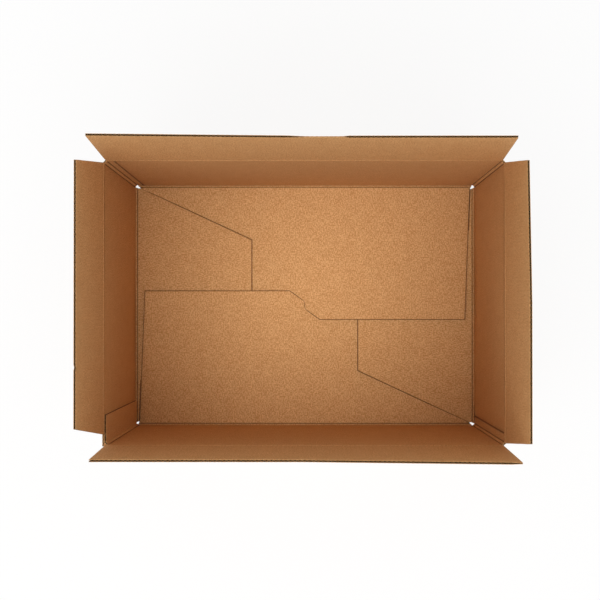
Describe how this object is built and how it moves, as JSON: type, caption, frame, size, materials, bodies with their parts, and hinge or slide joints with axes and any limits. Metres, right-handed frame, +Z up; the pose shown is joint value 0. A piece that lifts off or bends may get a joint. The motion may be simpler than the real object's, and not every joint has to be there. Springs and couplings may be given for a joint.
{
  "type": "open cardboard box",
  "caption": "Open brown corrugated cardboard box with four top flaps and an interlocking four-panel bottom.",
  "frame": {"origin": "middle of the footprint, on the surface the box stands on", "axes": "+X along the long walls, +Y towards the back wall, +Z up out of the open top"},
  "size_m": [0.3197, 0.2271, 0.3449],
  "materials": {
    "kraft_board": "uncoated brown kraft liner on corrugated board"
  },
  "bodies": {
    "box_body": {"box_body": "kraft_board"},
    "flap_back": {"flap_back": "kraft_board"},
    "flap_front": {"flap_front": "kraft_board"},
    "flap_left": {"flap_left": "kraft_board"},
    "flap_right": {"flap_right": "kraft_board"}
  },
  "joints": [
    {"name": "flap_back_fold", "type": "hinge", "parent": "box_body", "child": "flap_back", "pos_m": [0, 0.10875, 0.2369], "axis": [1, 0, 0], "range_deg": [-114.9, 93.1]},
    {"name": "flap_front_fold", "type": "hinge", "parent": "box_body", "child": "flap_front", "pos_m": [0, -0.10875, 0.2369], "axis": [-1, 0, 0], "range_deg": [-116.8, 91.2]},
    {"name": "flap_left_fold", "type": "hinge", "parent": "box_body", "child": "flap_left", "pos_m": [-0.15325, 0, 0.235], "axis": [0, 1, 0], "range_deg": [-114.5, 93.5]},
    {"name": "flap_right_fold", "type": "hinge", "parent": "box_body", "child": "flap_right", "pos_m": [0.15325, 0, 0.235], "axis": [0, -1, 0], "range_deg": [-115.3, 92.7]}
  ]
}
